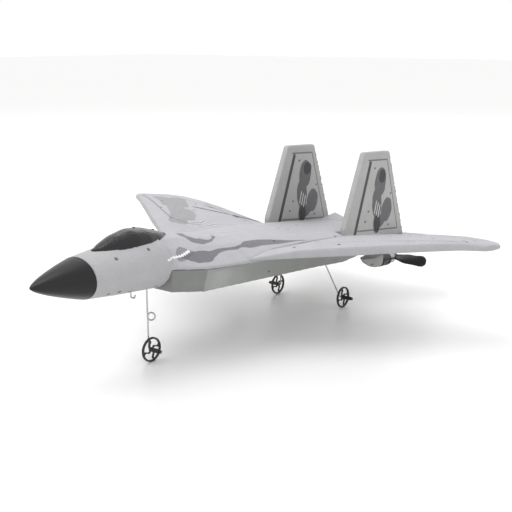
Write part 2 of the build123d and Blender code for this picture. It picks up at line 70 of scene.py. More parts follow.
def interpolate(table, place):
    """Value at a place on the straight lines through (place, value) pairs."""
    if place <= table[0][0]:
        return table[0][1]
    for (a, low), (b, high) in zip(table, table[1:]):
        if place <= b:
            return low + (high - low) * (place - a) / (b - a)
    return table[-1][1]


def smooth_step(value, low, high):
    """0 below low, 1 above high and an easy slope between."""
    part = min(1, max(0, (value - low) / (high - low)))
    return part * part * (3 - 2 * part)


# ------------------------------------------------------------------ node trees
class Field:
    """A number that varies over a surface, worked out by math nodes."""

    def __init__(self, tree, socket):
        self.tree = tree
        self.socket = socket

    def _math(self, operation, *others):
        node = self.tree.nodes.new("ShaderNodeMath")
        node.operation = operation
        self.tree.links.new(self.socket, node.inputs[0])
        for place, other in enumerate(others, 1):
            if isinstance(other, Field):
                self.tree.links.new(other.socket, node.inputs[place])
            else:
                node.inputs[place].default_value = other
        return Field(self.tree, node.outputs[0])

    def __add__(self, other):
        return self._math("ADD", other)

    def __sub__(self, other):
        return self._math("SUBTRACT", other)

    def __mul__(self, other):
        return self._math("MULTIPLY", other)

    def minimum(self, other):
        return self._math("MINIMUM", other)

    def maximum(self, other):
        return self._math("MAXIMUM", other)

    def absolute(self):
        return self._math("ABSOLUTE")

    def below(self, edge, blur):
        """1 where the field is under edge, 0 above edge + blur."""
        return self._range(edge, edge + blur, 1, 0)

    def above(self, edge, blur):
        """0 where the field is under edge, 1 above edge + blur."""
        return self._range(edge, edge + blur, 0, 1)

    def between(self, low, high, blur):
        return self.above(low, blur) * self.below(high, blur)

    def _range(self, low, high, first, last):
        node = self.tree.nodes.new("ShaderNodeMapRange")
        node.inputs["From Min"].default_value = low
        node.inputs["From Max"].default_value = high
        node.inputs["To Min"].default_value = first
        node.inputs["To Max"].default_value = last
        self.tree.links.new(self.socket, node.inputs["Value"])
        return Field(self.tree, node.outputs["Result"])

    def curve(self, points, low, high):
        """The field looked up in a smooth curve through (place, value) points."""
        values = [v for _, v in points]
        bottom, top = min(values), max(values) + 1e-6
        node = self.tree.nodes.new("ShaderNodeFloatCurve")
        track = node.mapping.curves[0]
        scaled = [((p - low) / (high - low), (v - bottom) / (top - bottom)) for p, v in points]
        track.points[0].location = scaled[0]
        track.points[1].location = scaled[-1]
        for place in scaled[1:-1]:
            track.points.new(*place)
        node.mapping.update()
        self.tree.links.new(self._range(low, high, 0, 1).socket, node.inputs["Value"])
        return Field(self.tree, node.outputs["Value"]) * (top - bottom) + bottom


class Paint:
    """A principled material and the fields that its masks are made from."""

    def __init__(self, name, colour, roughness):
        self.material = bpy.data.materials.new(name)
        self.material.use_nodes = True
        self.material.diffuse_color = (*colour, 1)
        self.tree = self.material.node_tree
        self.shader = self.tree.nodes["Principled BSDF"]
        self.shader.inputs["Roughness"].default_value = roughness
        self.coords = self.tree.nodes.new("ShaderNodeTexCoord")
        split = self.tree.nodes.new("ShaderNodeSeparateXYZ")
        self.tree.links.new(self.coords.outputs["Object"], split.inputs[0])
        self.x, y, self.z = (Field(self.tree, out) * (1 / MM) for out in split.outputs)
        self.s = y - NOSE_TIP / MM
        self.colour = self._rgb(colour)
        self.heights = []

    def upward(self):
        """1 on the faces that look up, 0 on those that look sideways or down."""
        split = self.tree.nodes.new("ShaderNodeSeparateXYZ")
        self.tree.links.new(self.coords.outputs["Normal"], split.inputs[0])
        return Field(self.tree, split.outputs[2]).above(0.12, 0.12)

    def _rgb(self, colour):
        node = self.tree.nodes.new("ShaderNodeRGB")
        node.outputs[0].default_value = (*colour, 1)
        return node.outputs[0]

    def noise(self, size, detail=2.0, roughness=0.5, stretch=(1, 1, 1)):
        """Noise field with features of a size in mm."""
        mapping = self.tree.nodes.new("ShaderNodeMapping")
        mapping.inputs["Scale"].default_value = stretch
        node = self.tree.nodes.new("ShaderNodeTexNoise")
        node.inputs["Scale"].default_value = 1 / (size * MM)
        node.inputs["Detail"].default_value = detail
        node.inputs["Roughness"].default_value = roughness
        self.tree.links.new(self.coords.outputs["Object"], mapping.inputs["Vector"])
        self.tree.links.new(mapping.outputs[0], node.inputs["Vector"])
        return Field(self.tree, node.outputs[0])

    def cells(self, size, feature="F1", smoothness=0.4):
        """Rounded cells of a size in mm, such as the beads of moulded foam."""
        node = self.tree.nodes.new("ShaderNodeTexVoronoi")
        node.feature = feature
        node.inputs["Scale"].default_value = 1 / (size * MM)
        if feature == "SMOOTH_F1":
            node.inputs["Smoothness"].default_value = smoothness
        self.tree.links.new(self.coords.outputs["Object"], node.inputs["Vector"])
        return Field(self.tree, node.outputs["Distance"])

    def mix(self, mask, colour, strength=1.0):
        """Lay a colour over what is there, as far as the mask says."""
        node = self.tree.nodes.new("ShaderNodeMix")
        node.data_type = "RGBA"
        self.tree.links.new((mask * strength).socket, node.inputs["Factor"])
        self.tree.links.new(self.colour, node.inputs["A"])
        node.inputs["B"].default_value = (*colour, 1)
        self.colour = node.outputs["Result"]

    def shade(self, field, low, high):
        """Multiply the colour by a factor between low and high."""
        factor = field * (high - low) + low
        joined = self.tree.nodes.new("ShaderNodeCombineColor")
        for socket in joined.inputs:
            self.tree.links.new(factor.socket, socket)
        node = self.tree.nodes.new("ShaderNodeMix")
        node.data_type = "RGBA"
        node.blend_type = "MULTIPLY"
        node.inputs["Factor"].default_value = 1
        self.tree.links.new(self.colour, node.inputs["A"])
        self.tree.links.new(joined.outputs[0], node.inputs["B"])
        self.colour = node.outputs["Result"]

    def raise_by(self, field, height):
        """Stand the surface out by field times a height in mm, for the light only."""
        self.heights.append(field * (height * MM))

    def roughen(self, field, low, high):
        self.tree.links.new((field * (high - low) + low).socket, self.shader.inputs["Roughness"])

    def finish(self):
        self.tree.links.new(self.colour, self.shader.inputs["Base Color"])
        if self.heights:
            total = self.heights[0]
            for other in self.heights[1:]:
                total = total + other
            bump = self.tree.nodes.new("ShaderNodeBump")
            bump.inputs["Distance"].default_value = 1.0
            bump.inputs["Strength"].default_value = 1.0
            self.tree.links.new(total.socket, bump.inputs["Height"])
            self.tree.links.new(bump.outputs[0], self.shader.inputs["Normal"])
        return self.material

    # shapes in the plane of two fields, in mm
    def ellipse(self, u, v, centre, radii, turn=0.0):
        """Under 1 inside an ellipse."""
        c, s = math.cos(math.radians(turn)), math.sin(math.radians(turn))
        du, dv = u - centre[0], v - centre[1]
        along = (du * c + dv * s) * (1 / radii[0])
        across = (dv * c - du * s) * (1 / radii[1])
        return (along * along + across * across)._math("SQRT")

    def segment(self, u, v, start, end):
        """Distance from a straight line between two points."""
        length = math.dist(start, end)
        du, dv = (end[0] - start[0]) / length, (end[1] - start[1]) / length
        pu, pv = u - start[0], v - start[1]
        along = (pu * du + pv * dv).maximum(0.0).minimum(length)
        off_u, off_v = pu - along * du, pv - along * dv
        return (off_u * off_u + off_v * off_v)._math("SQRT")

    def path(self, u, v, points):
        """Distance from a line through several points."""
        total = self.segment(u, v, points[0], points[1])
        for start, end in zip(points[1:], points[2:]):
            total = total.minimum(self.segment(u, v, start, end))
        return total


# ------------------------------------------------------------------ materials
FOAM = (0.40, 0.398, 0.412)
FOAM_DARK = (0.13, 0.13, 0.142)
FOAM_LIGHT = (0.66, 0.66, 0.68)
# dark ink of the print, also used as painted shade along the wing's grooves and crest
INK_AND_SHADE = (0.045, 0.045, 0.05)


def foam_grain(paint, strength=1.0):
    """Fine skin of moulded foam: tiny dimples over soft beads."""
    paint.raise_by(paint.cells(1.1, "SMOOTH_F1"), 0.14 * strength)
    paint.raise_by(paint.noise(0.6, 3.0, 0.6), 0.16 * strength)
    paint.raise_by(paint.noise(12.0, 2.0), 0.5 * strength)
    paint.shade(paint.noise(9.0, 4.0, 0.6), 0.90, 1.10)
    paint.shade(paint.noise(0.9, 2.0, 0.6), 0.93, 1.07)
    paint.roughen(paint.noise(3.0, 3.0), 0.50, 0.72)


def pits(paint, u, v, places, radius=0.7):
    """Small dark vent marks left by the mould."""
    warp = paint.noise(0.8, 2.0) * 0.8
    total = None
    for place in places:
        spot = paint.ellipse(u, v, place, (radius * 1.35, radius))
        total = spot if total is None else total.minimum(spot)
    mask = (total + warp).below(1.3, 0.35)
    paint.mix(mask, INK_AND_SHADE, 0.8)
    paint.raise_by(mask, -0.25)


# vent marks, as (distance across, station)
WING_VENTS = ((85, 199), (102, 205), (118, 196), (92, 171), (64, 149), (48, 160), (36, 172), (72, 188),
              (97, 190), (44, 137), (-78, 164), (-93, 180), (-79, 197), (-65, 180), (-68, 191), (-60, 194))
SPINE_VENTS = ((24, 146), (2, 179), (7, 182), (29, 199), (-3, 205))
# the camouflage band beside the spine, as (station, distance from the centre) and (station, half width)
BAND_START = 76
BAND_END = 180
BAND_MIDDLE = ((76, 16), (80, 17), (84, 19), (91, 21), (98, 21), (105, 20), (118, 21), (128, 21.5),
               (140, 23.5), (158, 27), (180, 30))
BAND_HALF = ((76, 0), (80, 0.5), (84, 2), (91, 3.5), (98, 2), (112, 1), (119, 1), (128, 3),
             (137, 3), (150, 2), (165, 0.5), (180, 0))


def printed_foam(settings):
    """Grey foam with the printed camouflage and outlines of the upper side, and painted shade along the
    wing's lines.
    """
    paint = Paint("printed_foam", settings.foam_colour, 0.6)
    x, s, z = paint.x, paint.s, paint.z
    side = x.absolute()
    waver = (paint.noise(7.0, 3.0, 0.6) - 0.5) * 0.55
    upper = paint.upward()
    # grey-lilac tint of the printed film on the upper side
    paint.mix(upper * s.above(76.0, 1.0), settings.print_colour, 0.35)
    # wavy dark band from the shoulder to the wing root
    middle = s.curve(BAND_MIDDLE, BAND_START, BAND_END)
    half = s.curve(BAND_HALF, BAND_START, BAND_END)
    reach = (side - middle).absolute() - half + waver * 1.6
    paint.mix(reach.below(-0.2, 0.25) * s.between(77.0, 176.0, 0.6) * upper, FOAM_DARK, 0.88)
    # crescent across the spine and the half disc in front of it
    crescent = paint.path(x, s, ((0, 96), (5, 94), (10, 95), (12, 99), (11, 106), (8, 112)))
    body = crescent.below(2.2, 0.2) * paint.ellipse(x, s, (3.0, 106.0), (8.0, 7.5), 10).above(1.0, 0.06)
    paint.mix(body * upper, FOAM_DARK, 0.85)
    disc = paint.ellipse(x, s, (15.5, 84.0), (3.0, 6.5), 6) + waver * 0.2
    paint.mix(disc.below(1.0, 0.08) * (s - x * 1.2).below(67.5, 0.5) * upper, FOAM_DARK, 0.6)
    # one hooked patch on the starboard wing
    patch = None
    for ends in (((-103, 189), (-94, 186), (-82, 176)), ((-96, 198), (-88, 190), (-78, 181)),
                 ((-80, 178), (-66, 166), (-56, 157), (-48, 147)), ((-66, 172), (-58, 166), (-52, 158))):
        part = paint.path(x, s, ends)
        patch = part if patch is None else patch.minimum(part)
    paint.mix((patch + waver * 6.0).below(5.2, 0.6) * x.below(-38.0, 0.5) * upper, (0.25, 0.24, 0.25), 0.75)
    # long outlines along the spine and curls on the wing roots
    for points in (((-8, 113), (3, 113), (2, 143)),
                   ((-8, 114), (-12, 160), (-9, 172), (-3, 179)),
                   ((-38, 153), (-37, 162), (-38, 169), (-34, 186)), ((-44, 166), (-42, 160), (-44, 154)),
                   ((34, 140), (44, 152), (50, 168), (45, 180), (34, 185))):
        outline = paint.path(x, s, points)
        paint.mix(outline.between(0.45, 1.1, 0.2) * upper, FOAM_LIGHT, 0.5)
        paint.mix(outline.below(0.35, 0.25) * upper, INK_AND_SHADE, 0.5)
    # dark lines along the wing's cut flap, slot and aileron grooves and its crest: painted shade in the
    # grooves and at the crease
    for points in WING_SHADE_LINES:
        paint.mix(paint.path(side, s, points).below(0.32, 0.25) * upper, INK_AND_SHADE, 0.5)
    # painted shade of a flap groove across the starboard wing; the mesh cuts no groove here
    groove_shade = paint.path(x, s, ((-72, 188), (-48, 200.5), (-34, 207)))
    paint.mix(groove_shade.below(1.0, 0.5) * upper, INK_AND_SHADE, 0.85)
    # toothed border of the printed film at the shoulder
    teeth = (s * 0.9)._math("PINGPONG", 0.7)
    border = paint.path(s, z, ((71, 56.5), (80, 57), (86, 58.5))) + teeth * 0.7
    paint.mix(border.below(0.6, 0.2) * side.above(8.0, 0.5), (0.86, 0.86, 0.87), 0.9)
    pits(paint, x, s, WING_VENTS + SPINE_VENTS)
    pits(paint, s, z, ((42, 62), (62, 63), (37, 46), (51, 44), (68, 43), (43, 46)), 0.6)
    foam_grain(paint)
    return paint.finish()


def plain_foam(settings):
    """Unprinted greenish-grey foam of the trunk, pods and underside, with painted shade and light on the
    trunk's faces.
    """
    paint = Paint("plain_foam", settings.trunk_colour, 0.6)
    # painted shade: the trunk's slanted front face is darkened as if turned away from the light
    paint.mix(paint.s.between(73.0, 88.0, 0.8), (0.12, 0.125, 0.125), 0.55)
    # painted light: the side face just behind the crease is lightened, fading aft
    paint.mix(paint.s.between(89.0, 96.0, 14.0) * paint.s.above(88.5, 0.5), (0.50, 0.50, 0.49), 0.5)
    # painted shade: the upper part of the trunk side, under the wing, is darkened
    paint.mix(paint.z.above(46.0, 3.0) * paint.s.above(90.0, 5.0), (0.20, 0.205, 0.20), 0.35)
    # pale line along the parting seam: painted highlight on its raised edge
    seam_highlight = (paint.z + paint.s * 0.0724).between(56.55, 57.0, 0.25) * paint.s.above(77.0, 1.0)
    paint.mix(seam_highlight, (0.66, 0.66, 0.65), 0.55)
    pits(paint, paint.s, paint.z, ((112, 35), (141, 38), (171, 32), (196, 36)), 0.55)
    foam_grain(paint)
    return paint.finish()


DASHES = 3


def fin_foam(settings):
    """Foam of the fins with the printed border, stripe, blotch and plain dashes."""
    paint = Paint("fin_foam", settings.fin_colour, 0.6)
    s, z = paint.s, paint.z
    paint.mix(paint.path(s, z, ((232.5, 89.5), (254.5, 88), (270, 42), (221.5, 47.5)))
              .below(0.35, 0.25), INK_AND_SHADE, 0.7)
    # the film inside the border is a little lighter
    inside = (z - 46.5).above(0.0, 0.2) * (z - 88.0).below(0.0, 0.2) * paint.noise(30.0, 1.0)
    paint.mix(inside, FOAM_LIGHT, 0.10)
    stripe = paint.segment(s, z, (218.5, 46), (234.5, 87.5))
    paint.mix(stripe.below(1.35, 0.25), (0.03, 0.03, 0.034), 0.92)
    blotch = None
    for centre, radii, turn in (((247.0, 74.5), (6.6, 9.0), -6), ((243.5, 62.0), (5.6, 9.5), 4),
                                ((244.5, 51.0), (3.8, 7.5), 0), ((255.5, 56.0), (6.2, 7.6), -20),
                                ((250.0, 50.5), (6.0, 3.6), 35)):
        part = paint.ellipse(s, z, centre, radii, turn)
        blotch = part if blotch is None else blotch.minimum(part)
    waver = (paint.noise(6.0, 2.0) - 0.5) * 0.25
    paint.mix((blotch + waver).below(1.0, 0.05), (0.085, 0.085, 0.095), 0.9)
    darker = paint.ellipse(s, z, (244.0, 48.5), (4.0, 5.5))
    darker = darker.minimum(paint.ellipse(s, z, (249.5, 78.0), (4.0, 4.0)))
    paint.mix((darker + waver).below(1.0, 0.1), (0.02, 0.02, 0.022), 0.8)
    for i in range(DASHES):
        foot = (241.0 + 2.2 * i, 56.0 - 1.5 * i)
        dash = paint.segment(s, z, foot, (foot[0] + 2.0, foot[1] + 7.0))
        paint.mix(dash.below(0.35, 0.2), FOAM_LIGHT, 0.9)
    edge = paint.segment(s, z, (257.6, 92.0), (277.5, 38.0))
    paint.mix(edge.below(0.9, 0.3) * paint.noise(1.6, 2.0).above(0.60, 0.04), INK_AND_SHADE, 0.7)
    pits(paint, s, z, ((233.5, 58), (230, 52), (260, 66), (240, 84), (258, 46), (224, 44)), 0.6)
    foam_grain(paint)
    return paint.finish()


def nose_plastic(settings):
    """Black moulded nose: soft gloss with faint turned streaks."""
    paint = Paint("nose_plastic", settings.black_colour, 0.3)
    paint.shader.inputs["Specular IOR Level"].default_value = 0.35
    streaks = paint.noise(1.6, 4.0, 0.6, stretch=(1.0, 0.12, 1.0))
    paint.roughen(streaks, 0.22, 0.46)
    paint.raise_by(streaks, 0.05)
    paint.raise_by(paint.noise(0.7, 3.0), 0.05)
    paint.shade(paint.noise(11.0, 3.0), 0.8, 1.25)
    return paint.finish()


def canopy_film(settings):
    """Glossy black film over foam beads."""
    paint = Paint("canopy_film", settings.black_colour, 0.15)
    paint.shader.inputs["Specular IOR Level"].default_value = 0.3
    paint.shader.inputs["Coat Weight"].default_value = 0.2
    paint.shader.inputs["Coat Roughness"].default_value = 0.08
    paint.raise_by(paint.cells(1.3, "SMOOTH_F1"), 0.16)
    paint.raise_by(paint.noise(0.9, 3.0, 0.6), 0.10)
    paint.roughen(paint.noise(2.0, 2.0), 0.20, 0.36)
    paint.shade(paint.noise(6.0, 3.0), 0.8, 1.3)
    return paint.finish()


def moulded_plastic(name, colour, roughness, grain=0.05):
    """Injection-moulded plastic with a fine spark finish."""
    paint = Paint(name, colour, roughness)
    paint.raise_by(paint.noise(0.25, 2.0), grain)
    paint.raise_by(paint.noise(4.0, 2.0), grain)
    paint.roughen(paint.noise(2.2, 3.0), roughness - 0.08, roughness + 0.12)
    paint.shade(paint.noise(5.0, 3.0), 0.85, 1.15)
    return paint.finish()


def drawn_metal(name, colour, roughness, stretch=(1, 1, 1)):
    """Metal with fine drawing marks."""
    paint = Paint(name, colour, roughness)
    paint.shader.inputs["Metallic"].default_value = 1.0
    marks = paint.noise(0.35, 4.0, 0.7, stretch=stretch)
    paint.raise_by(marks, 0.02)
    paint.roughen(marks, roughness - 0.07, roughness + 0.15)
    paint.shade(paint.noise(2.5, 3.0), 0.82, 1.1)
    return paint.finish()


def circuit_board():
    """Green solder mask with copper tracks and tinned pads."""
    paint = Paint("board_mask", (0.012, 0.10, 0.045), 0.35)
    tracks = (paint.x * 0.8)._math("PINGPONG", 0.5)
    paint.mix(tracks.above(0.38, 0.03) * paint.noise(3.0, 1.0).above(0.5, 0.02), (0.05, 0.22, 0.09), 0.8)
    paint.mix(paint.cells(1.9).below(0.16, 0.02), (0.7, 0.68, 0.62), 0.9)
    paint.raise_by(paint.noise(1.0, 2.0), 0.04)
    return paint.finish()


# ------------------------------------------------------------------ meshes
def finish_mesh(name, verts, faces, body, material, replaces=(), crease=38):
    """A piece from points in mm and faces, smooth but for its sharp edges."""
    mesh = bpy.data.meshes.new(name)
    mesh.from_pydata([Vector(v) * MM for v in verts], [], faces)
    piece = bpy.data.objects.new(name, mesh)
    bpy.context.scene.collection.objects.link(piece)
    work = bmesh.new()
    work.from_mesh(mesh)
    bmesh.ops.remove_doubles(work, verts=work.verts, dist=0.001 * MM)
    bmesh.ops.recalc_face_normals(work, faces=work.faces)
    work.to_mesh(mesh)
    work.free()
    dress(piece, body, material, replaces, crease)
    return piece


def dress(piece, body, material, replaces=(), crease=38):
    """Shading, material and body of a piece."""
    piece.data.shade_smooth()
    piece.data.set_sharp_from_angle(angle=math.radians(crease))
    piece.data.materials.clear()
    piece.data.materials.append(material)
    if replaces:
        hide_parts(*replaces)
    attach(piece, body)


def skin(rows):
    """Points and faces of the surface through rows of points, with flat ends."""
    count = len(rows[0])
    verts = [p for row in rows for p in row]
    faces = []
    for r in range(len(rows) - 1):
        for i in range(count):
            j = (i + 1) % count
            faces.append((r * count + i, r * count + j, (r + 1) * count + j, (r + 1) * count + i))
    faces.append(tuple(range(count))[::-1])
    faces.append(tuple(range((len(rows) - 1) * count, len(rows) * count)))
    return verts, faces


def rounded(corners, radius, steps=4):
    """Closed outline with its corners rounded, in the plane of the corners."""
    outline = []
    count = len(corners)
    for i in range(count):
        corner = Vector(corners[i])
        before = Vector(corners[i - 1]) - corner
        after = Vector(corners[(i + 1) % count]) - corner
        r = radius[i] if isinstance(radius, (list, tuple)) else radius
        reach = min(r, 0.45 * before.length, 0.45 * after.length)
        start = corner + before.normalized() * reach
        end = corner + after.normalized() * reach
        for k in range(steps + 1):
            t = k / steps
            outline.append(start * (1 - t) ** 2 + corner * 2 * t * (1 - t) + end * t * t)
    return outline


def plate(outline, thickness, edge, place, steps=4):
    """Points and faces of a flat plate with rounded edges; place maps (u, v, t) to a point."""
    count = len(outline)
    flow = []
    for i in range(count):
        along = (Vector(outline[(i + 1) % count]) - Vector(outline[i - 1])).normalized()
        flow.append(Vector((-along.y, along.x)))
    area = sum(outline[i - 1][0] * outline[i][1] - outline[i][0] * outline[i - 1][1] for i in range(count))
    inward = 1 if area > 0 else -1
    rows = []
    for face in (-1, 1):
        for k in range(steps + 1):
            angle = math.pi / 2 * (k / steps if face < 0 else 1 - k / steps)
            inset = edge * (1 - math.sin(angle))
            level = face * (thickness / 2 - edge * (1 - math.cos(angle)))
            rows.append([place(*(Vector(p) + n * inward * inset), level) for p, n in zip(outline, flow)])
    return skin(rows)


def noise_line(start, end, step, depth, seed):
    """Points from start towards end with small nibs of trimmed foam flash."""
    rng = random.Random(seed)
    start, end = Vector(start), Vector(end)
    count = max(2, int((end - start).length / step))
    across = Vector((-(end - start).y, (end - start).x)).normalized()
    return [start.lerp(end, i / count) + across * rng.uniform(-depth, depth) for i in range(1, count)]


def remoulded(node, voxel, passes, body, material, crease=50):
    """A foam piece with soft moulded edges, made from the node's own shape."""
    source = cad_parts[node]
    piece = bpy.data.objects.new(node + "_foam", source.data.copy())
    piece.matrix_world = source.matrix_world
    bpy.context.scene.collection.objects.link(piece)
    remesh = piece.modifiers.new("mould", "REMESH")
    remesh.mode = "VOXEL"
    remesh.voxel_size = voxel * MM
    ease = piece.modifiers.new("ease", "SMOOTH")
    ease.factor = 0.5
    ease.iterations = passes
    shaped = bpy.data.meshes.new_from_object(piece.evaluated_get(bpy.context.evaluated_depsgraph_get()))
    piece.modifiers.clear()
    piece.data = shaped
    dress(piece, body, material, (node,), crease)
    return piece


def both_sides(build):
    """Run a builder for the left side and the right side."""
    for name, sign in (("left", 1), ("right", -1)):
        build(name, sign)


# ------------------------------------------------------------------ wing shape
# across, leading edge station, its lower height, its thickness, crest height,
# trailing edge station and its upper height
WING_SECTIONS = ((30.0, 117.5, 49.2, 1.6, 52.2, 207.5, 47.3),
                 (50.0, 132.4, 50.7, 4.4, 57.2, 208.5, 50.4),
                 (70.8, 147.2, 52.2, 4.8, 58.4, 211.0, 53.2),
                 (88.0, 160.2, 53.6, 4.6, 59.1, 213.0, 54.8),
                 (105.0, 173.1, 54.7, 4.2, 59.5, 214.0, 55.8),
                 (117.0, 182.2, 55.3, 3.8, 59.3, 212.5, 56.0),
                 (130.4, 192.3, 54.8, 2.4, 57.8, 207.5, 55.8))
WING_CREST = 0.17
WING_REAR_THICKNESS = 1.6
TIP_LEAD = ((127.5, 190.1), (130.4, 200.5))
TIP_TRAIL = ((105.0, 215.0), (125.0, 210.5), (130.4, 200.5))
CREST_LINE = ((52, 146.6),
              *((row[0], row[1] + WING_CREST * (row[5] - row[1])) for row in WING_SECTIONS[2:5]),
              (118, 187.4))
INNER_LINE = (CREST_LINE[0], (44, 150), (40, 158))
OUTER_LINE = (CREST_LINE[-1], (113, 193))
SLOT_LINE = ((64, 206.2), (80, 208.2))
AILERON_LINE = ((80, 203.2), (119, 203.6))
# the wing's groove and crest lines once more, for the painted shade laid along them
WING_SHADE_LINES = (((36, 206), (76, 201.5), (75, 206.5)), CREST_LINE, OUTER_LINE, INNER_LINE,
            SLOT_LINE, AILERON_LINE)
WING_LINES = (
    # points of the line (across, station), half width, depth
    (((34, 198.6), (76, 201.6), (75, 207.0)), 0.9, 1.0),
    (CREST_LINE, 0.8, 0.5),
    (INNER_LINE, 0.6, 0.4),
    (OUTER_LINE, 0.6, 0.4),
    (SLOT_LINE, 0.8, 0.8),
    (AILERON_LINE, 0.6, 0.35),
)


def line_distance(point, start, end):
    """Distance from a point to a straight run, in a plane."""
    p, a, b = Vector(point), Vector(start), Vector(end)
    run = b - a
    part = min(1, max(0, (p - a).dot(run) / run.length_squared))
    return (p - a - run * part).length


def groove_depth(across, station):
    """How deep the wing's moulded lines cut at a place."""
    depth = 0.0
    for points, half, deep in WING_LINES:
        for start, end in zip(points, points[1:]):
            gap = line_distance((across, station), start, end)
            depth = max(depth, deep * (1 - smooth_step(gap, half * 0.4, half * 1.3)))
    return depth


class WingSection:
    """Cross section of the wing at a distance across."""

    def __init__(self, across):
        columns = zip(*WING_SECTIONS)
        across_places = next(columns)
        self.lead, self.low, self.face, self.crest, self.trail, self.rear = (
            interpolate(tuple(zip(across_places, column)), across) for column in columns)
        self.across = across
        self.front = max(self.lead, interpolate(TIP_LEAD, across)) if across > 127.5 else self.lead
        self.back = min(self.trail, interpolate(TIP_TRAIL, across)) if across > 105 else self.trail
        chord = self.trail - self.lead
        self.top_line = ((self.lead + 1.3, self.low + self.face),
                         (self.lead + WING_CREST * chord, self.crest),
                         (self.lead + 0.6 * chord, self.rear + 0.52 * (self.crest - self.rear)),
                         (self.trail, self.rear))

    def top(self, station):
        """Upper surface, eased over its corners."""
        total = sum(interpolate(self.top_line, station + shift) for shift in (-1, -0.5, 0, 0.5, 1))
        return total / 5

    def bottom(self, station):
        part = (station - self.lead) / (self.trail - self.lead)
        return self.low + (self.rear - WING_REAR_THICKNESS - self.low) * part

    def outline(self, top_count=130, bottom_count=44, nose_count=9):
        """Points round the section: over the top, round the nose and back underneath."""
        points = []
        start = self.front + 1.3
        for i in range(top_count):
            station = self.back - 0.3 + (start - self.back + 0.3) * i / (top_count - 1)
            points.append((station, self.top(station) - groove_depth(self.across, station)))
        high, low = self.top(start), self.bottom(self.front + 0.8)
        for i in range(1, nose_count):
            angle = math.pi * i / nose_count
            middle, half = (high + low) / 2, (high - low) / 2
            reach = self.front + 1.0 - 1.0 * math.sin(angle) ** 0.7
            points.append((reach, middle + half * math.cos(angle)))
        for i in range(bottom_count):
            station = self.front + 0.9 + (self.back - 0.3 - self.front - 0.9) * i / (bottom_count - 1)
            points.append((station, self.bottom(station)))
        rear_middle = (self.top(self.back) + self.bottom(self.back)) / 2
        points.append((self.back, rear_middle - 0.4))
        points.append((self.back, rear_middle + 0.4))
        return points


def wing_rows(sign):
    """Rows of points from the root rib to the rounded tip."""
    places = [30 + 0.8 * i for i in range(122)] + [127.9, 128.5, 129.0, 129.4, 129.8, 130.05, 130.2]
    rows = []
    for across in places:
        outline = WingSection(across).outline()
        close = math.sqrt(max(0.02, 1 - ((across - 128.6) / 1.75) ** 2)) if across > 128.6 else 1.0
        middle = sum(z for _, z in outline) / len(outline)
        rows.append([(sign * across, at(station), middle + (z - middle) * close) for station, z in outline])
    return rows


# ------------------------------------------------------------------ pieces
FIN_CORNERS = ((207.7, 50.6), (228.2, 94.8), (257.4, 93.2), (279.4, 34.8), (228.0, 36.4),
               (207.7, 42.0))
TAILPLANE_CORNERS = ((30.5, 232.5), (62.0, 260.5), (62.0, 271.5), (44.0, 284.4), (30.5, 280.0))
TAILPLANE_MIDDLE = 36.0
CONE_LENGTH = 27.5
CONE_HALF = (13.0, 10.1)
CONE_CENTRE_Z = 54.0
CONE_TIP_Z = 55.0
CANOPY_SKIRT = (0.55, 0.15)      # the film stands this far out and up from the foam
CANOPY_SECTIONS = ((37.4, 0.8, 64.2, 65.6), (42, 4.6, 62.8, 67.6), (50, 7.6, 62.4, 70.3),
                   (59.8, 8.8, 62.6, 72.1), (68, 8.4, 63.0, 71.3), (77, 6.0, 63.6, 68.6),
                   (84.6, 1.0, 64.0, 65.9))


def eased(table, column, place, reach=3.0):
    """A column of a table at a place, with the corners between its rows eased."""
    pairs = tuple((row[0], row[column]) for row in table)
    shifts = (-1.0, -0.6, -0.3, 0.0, 0.3, 0.6, 1.0)
    return sum(interpolate(pairs, place + shift * reach) for shift in shifts) / len(shifts)


def build_nose_cone(material):
    """Bullet nose with a fine rolled rim where it meets the foam."""
    rows = []
    for i in range(49):
        part = (i / 48) ** 1.4
        size = max(part, 0.0006) ** 0.68
        if part > 0.955:
            size *= 1.0 - 0.012 * math.sin(math.pi * (part - 0.955) / 0.045)
        middle = CONE_TIP_Z + (CONE_CENTRE_Z - CONE_TIP_Z) * part
        rows.append([(CONE_HALF[0] * size * math.cos(a), at(CONE_LENGTH * part),
                      middle + CONE_HALF[1] * size * math.sin(a))
                     for a in (2 * math.pi * k / 72 for k in range(72))])
    rows.append([(x * 0.94, y + 0.5, CONE_CENTRE_Z + (z - CONE_CENTRE_Z) * 0.94) for x, y, z in rows[-1]])
    verts, faces = skin(rows)
    finish_mesh("nose_cone_shell", verts, faces, "airframe", material, ("nose_cone",), 50)


def build_canopy(material):
    """Blistered canopy with two small vent nubs on its ridge."""
    rows = []
    first, last = CANOPY_SECTIONS[0][0], CANOPY_SECTIONS[-1][0]
    count = 64
    for i in range(count + 1):
        station = first + (last - first) * i / count
        half, sill, top = (eased(CANOPY_SECTIONS, column, station, 1.8) for column in (1, 2, 3))
        half, top = half + CANOPY_SKIRT[0], top + CANOPY_SKIRT[1]
        row = [(-half, at(station), sill - 0.3)]
        for k in range(37):
            angle = math.pi * k / 36
            row.append((-half * math.cos(angle), at(station), sill + (top - sill) * math.sin(angle) ** 0.9))
        row.append((half, at(station), sill - 0.3))
        rows.append(row)
    verts, faces = skin(rows)
    finish_mesh("canopy_blister", verts, faces, "airframe", material, ("canopy",), 60)
    for station in (64.0, 77.0):
        top = eased(CANOPY_SECTIONS, 3, station, 1.8)
        rows = [[(r * math.cos(a), at(station) + r * math.sin(a), top - 0.4 + h)
                 for a in (2 * math.pi * k / 14 for k in range(14))]
                for r, h in ((0.95, 0.0), (0.9, 0.45), (0.7, 0.8), (0.35, 0.95), (0.05, 1.0))]
        verts, faces = skin(rows)
        finish_mesh(f"canopy_nub_{int(station)}", verts, faces, "airframe", material)


